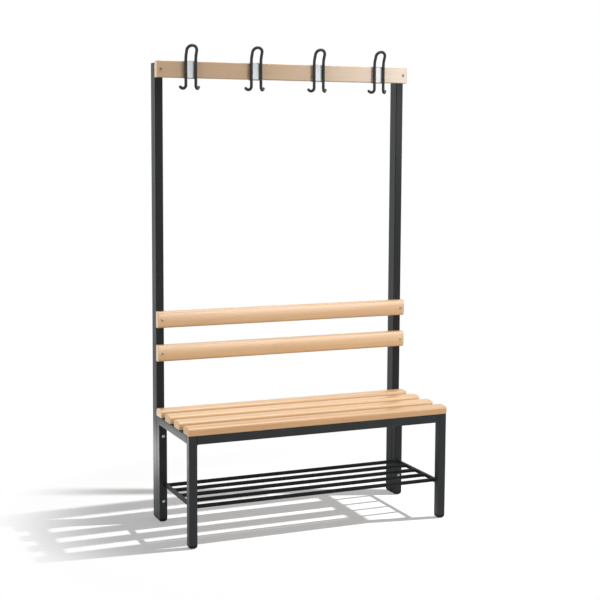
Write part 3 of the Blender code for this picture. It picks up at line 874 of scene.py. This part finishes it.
def buildWelds(material):
    bm = bmesh.new()
    ahead, up = Vector((0, 1, 0)), Vector((0, 0, 1))
    around = [2 * pi * step / weld["ringSteps"] for step in range(weld["ringSteps"])]
    shares = [step / weld["lineSteps"] for step in range(weld["lineSteps"] + 1)]
    for sign, side in ((-1, "left"), (1, "right")):
        inward = Vector((-sign, 0, 0))
        for number in range(1, 6):  # rack bars on the cross bars
            low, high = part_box(f"rack_bar_{number}")
            centre = Vector((sign * weld["innerX"], (low.y + high.y) / 2, weld["barZ"]))
            outward = [ahead * cos(turn) + up * sin(turn) for turn in around]
            path = [centre + way * weld["barRadius"] * weld["barSink"] for way in outward]
            walls = [(inward * weld["barWalls"][0], way * weld["barWalls"][1]) for way in outward]
            filletBead(bm, path, walls, True)
        for end, way in (("front", 1), ("rear", -1)):  # cross bars and side rails on the legs
            low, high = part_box(f"leg_{end}_{side}")
            faceY = high.y if way > 0 else low.y
            for bar in (weld["crossBar"], weld["sideRail"]):
                startX = sign * bar["x"] - bar["half"]
                path = [Vector((startX + 2 * bar["half"] * share, faceY, bar["z"])) for share in shares]
                filletBead(bm, path, [(ahead * way, -up)] * len(path))
        for end in ("front", "rear"):  # long rails on the legs
            low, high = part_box(f"seat_rail_{end}")
            rail = weld["longRail"]
            path = [Vector((sign * weld["innerX"], low.y + rail["from"] + rail["length"] * share, low.z))
                    for share in shares]
            filletBead(bm, path, [(inward, -up)] * len(path))
    newPiece("frameWelds", meshFrom(bm, "frameWelds", "weld"), material)
    print("welds built")


# white floor that keeps the shadow near the bench and clears to white further out
stage = {
    "seen": colour(0.97, 0.97, 0.97),
    "bounce": colour(0.30, 0.30, 0.30),
    "middle": (-0.10, 0.10, 0.0),
    "clearSpan": (0.55, 1.06),  # metres from the middle
    "lift": colour(0.33, 0.33, 0.33),
    "flag": 0.90,  # reflections see the floor dimmer behind the bench, as with a dark card there
    "flagAcross": (-0.55, -0.25),
    "flagBack": (0.0, 0.30),
    "flagEnd": (1.30, 1.70),
    "size": 40.0,
}


def whereSeen(start, *keys):
    rays = [start.node("ShaderNodeLightPath", output=key) for key in keys]
    total = rays[0]
    for ray in rays[1:]:
        total = total + ray
    return total


def buildFloor():
    bm = bmesh.new()
    bmesh.ops.create_grid(bm, x_segments=1, y_segments=1, size=stage["size"])
    floor = bpy.data.objects.new("floor", meshFrom(bm, "floor"))
    scene.collection.objects.link(floor)
    material = bpy.data.materials.new("studio_floor")
    material.use_nodes = True
    tree = material.node_tree
    tree.nodes.clear()
    start = Feed(tree)
    place = start.node("ShaderNodeTexCoord", output="Object")
    far = place.vector("SUBTRACT", stage["middle"]).length()
    across, back = place.axis(0), place.axis(1)
    flag = across.ramp(*stage["flagAcross"]) * back.ramp(*stage["flagBack"])
    flag = flag * (1 - back.ramp(*stage["flagEnd"]))
    mirrored = whereSeen(start, "Is Glossy Ray") * (1 - flag * stage["flag"])
    seen = whereSeen(start, "Is Camera Ray", "Is Transmission Ray") + mirrored
    matt = start.node("ShaderNodeBsdfDiffuse", None, {"Color": seen.tint(stage["bounce"], stage["seen"])})
    lift = start.node("ShaderNodeEmission", None, {"Color": seen.tint(black, stage["lift"]), "Strength": 1.0})
    clear = start.node("ShaderNodeEmission", None, {"Color": white, "Strength": 1.0})
    near = start.node("ShaderNodeAddShader", None, {0: matt, 1: lift})
    share = far.ramp(*stage["clearSpan"]) * seen
    mixed = start.node("ShaderNodeMixShader", None, {0: share, 1: near, 2: clear})
    start.node("ShaderNodeOutputMaterial", None, {"Surface": mixed})
    material.cycles.emission_sampling = "NONE"  # the floor is no lamp, so light samples go to the lamps
    setFinish(floor, material)
    floor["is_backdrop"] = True
    return floor


# light: a low even studio, soft boxes on the bench alone, so that they leave the shadow on the floor,
# and one small lamp from the right front that draws the shadow
studio = {"level": 0.16, "backdropSpan": (-0.25, 0.35)}
lamps = {  # lights: starts of the names that the lamp falls on, the whole bench where there are none
    "shadowLamp": {"place": (2.25, -0.52, 2.70), "aim": (-1.50, 0.30, 0.0), "power": 33.5,
                   "size": (0.09, 0.09), "spread": radians(90), "gloss": True, "lights": ("floor",)},
    "topBox": {"place": (0.60, -0.60, 3.90), "aim": (0.15, 0.0, 0.40), "power": 87.0, "size": (2.4, 1.8),
               "gloss": True, "lights": ()},
    "stripBox": {"place": (0.95, -2.75, 1.50), "aim": (0.0, 0.10, 0.90), "power": 48.0, "size": (2.0, 0.9),
                 "gloss": True, "lights": ("backrest", "hook_clip", "head_backrest")},
    "frontBox": {"place": (0.40, -2.75, 1.50), "aim": (0.0, 0.10, 0.60), "power": 44.0, "size": (2.4, 1.2),
                 "gloss": False, "lights": ("seat", "leg", "rack", "head_post", "head_seat", "frameWelds")},
    "railBox": {"place": (1.75, -2.10, 1.75), "aim": (0.45, 0.13, 1.40), "power": 16.0, "size": (0.35, 0.35),
                "gloss": True, "lights": ()},
    "leftBox": {"place": (-3.00, -0.40, 1.70), "aim": (-0.5, 0.0, 0.90), "power": 50.0, "size": (2.0, 2.0),
                "gloss": False, "lights": ()},
    "rimBox": {"place": (-0.80, 0.80, 0.085), "aim": (-0.5, 0.1, 0.20), "power": 1.05, "size": (0.60, 0.15),
               "gloss": True, "lights": ("post", "leg", "rack", "seat_rail", "seatSlat4", "backrest")},
    "rightBox": {"place": (3.20, 0.60, 1.70), "aim": (0.5, 0.0, 0.90), "power": 34.0, "size": (2.0, 2.0),
                 "gloss": True, "lights": ("post", "leg", "rack", "seat_rail", "hookWire", "frameWelds")},
    "backBox": {"place": (-1.30, 2.80, 2.40), "aim": (0.0, 0.10, 0.90), "power": 36.0, "size": (2.2, 1.8),
                "gloss": False, "lights": ()},
}


def buildWorld():
    world = bpy.data.worlds.new("studio")
    scene.world = world
    world.use_nodes = True
    world.node_tree.nodes.clear()
    start = Feed(world.node_tree)
    towards = start.node("ShaderNodeTexCoord", output="Generated")  # the direction that a ray leaves in
    backdrop = towards.axis(1).ramp(*studio["backdropSpan"])
    seen = whereSeen(start, "Is Camera Ray", "Is Transmission Ray")
    seen = seen + whereSeen(start, "Is Glossy Ray") * backdrop
    strength = studio["level"] + seen * (1 - studio["level"])
    back = start.node("ShaderNodeBackground", None, {"Color": white, "Strength": strength})
    start.node("ShaderNodeOutputWorld", None, {"Surface": back})


def buildLights(floor):
    bench = tuple(piece.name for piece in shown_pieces())
    for name, facts in lamps.items():
        lamp = bpy.data.lights.new(name, "AREA")
        lamp.shape = "ELLIPSE" if name == "shadowLamp" else "RECTANGLE"
        lamp.energy = facts["power"]
        lamp.size, lamp.size_y = facts["size"]
        lamp.spread = facts.get("spread", pi)
        place = bpy.data.objects.new(name, lamp)
        place.location = facts["place"]
        place.rotation_euler = (Vector(facts["aim"]) - place.location).to_track_quat("-Z", "Y").to_euler()
        place.visible_camera, place.visible_glossy = False, facts["gloss"]
        lit = bpy.data.collections.new("lit_" + name)
        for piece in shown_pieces() + [floor]:
            if piece.name.startswith(facts["lights"] or bench):
                lit.objects.link(piece)
        place.light_linking.receiver_collection = lit
        scene.collection.objects.link(place)
    print("lights set:", len(lamps))


cameraView = {  # from the left front, level with the backrest
    "lens": 76.8767,
    "sensor": 36.0,
    "shiftY": -0.055,
    "place": (-1.848106, -4.285613, 1.394940),
    "turn": (84.40653, -0.28902, -23.28229),
}


def buildCamera():
    data = bpy.data.cameras.new("photoView")
    data.lens, data.sensor_width = cameraView["lens"], cameraView["sensor"]
    data.shift_y = cameraView["shiftY"]
    view = bpy.data.objects.new("photoView", data)
    view.location = cameraView["place"]
    view.rotation_euler = [radians(angle) for angle in cameraView["turn"]]
    scene.collection.objects.link(view)
    scene.camera = view


def finishOf(name):
    if name in boards:
        return beechFinish(name, boards[name])
    if "foot" in name or "cap" in name:
        return finishes["plastic"]
    if "screw" in name or "bolt" in name:
        return finishes[fastenerKind(name)]
    if name.startswith("rack"):
        return finishes["rack"]
    if name.startswith("hook_clip"):
        return finishes["clip"]
    return finishes["wire" if name.startswith("hook_") else "tube"]


scene.view_settings.view_transform = "Standard"
buildCamera()
softenSolids()
finishes = {
    "tube": powderFinish("tube"),
    # the rack's coat is a darker copy: painted shade under the seat
    "rack": powderFinish("rack"),
    "plastic": plasticFinish(),
    "wire": hookFinish(),
    "clip": clipFinish(),
    "boardScrew": zincFinish("screw"),
    "postBolt": zincFinish("post_bolt"),
}
for name, solid in nodes.items():
    setFinish(solid, finishOf(name))
print("finishes set on", len(nodes), "nodes")
buildSlats()
buildHooks(finishes["wire"])
buildRackBars(finishes["rack"])
buildInserts(finishes["plastic"])
buildFasteners(finishes)
buildWelds(finishes["tube"])
buildWorld()
buildLights(buildFloor())
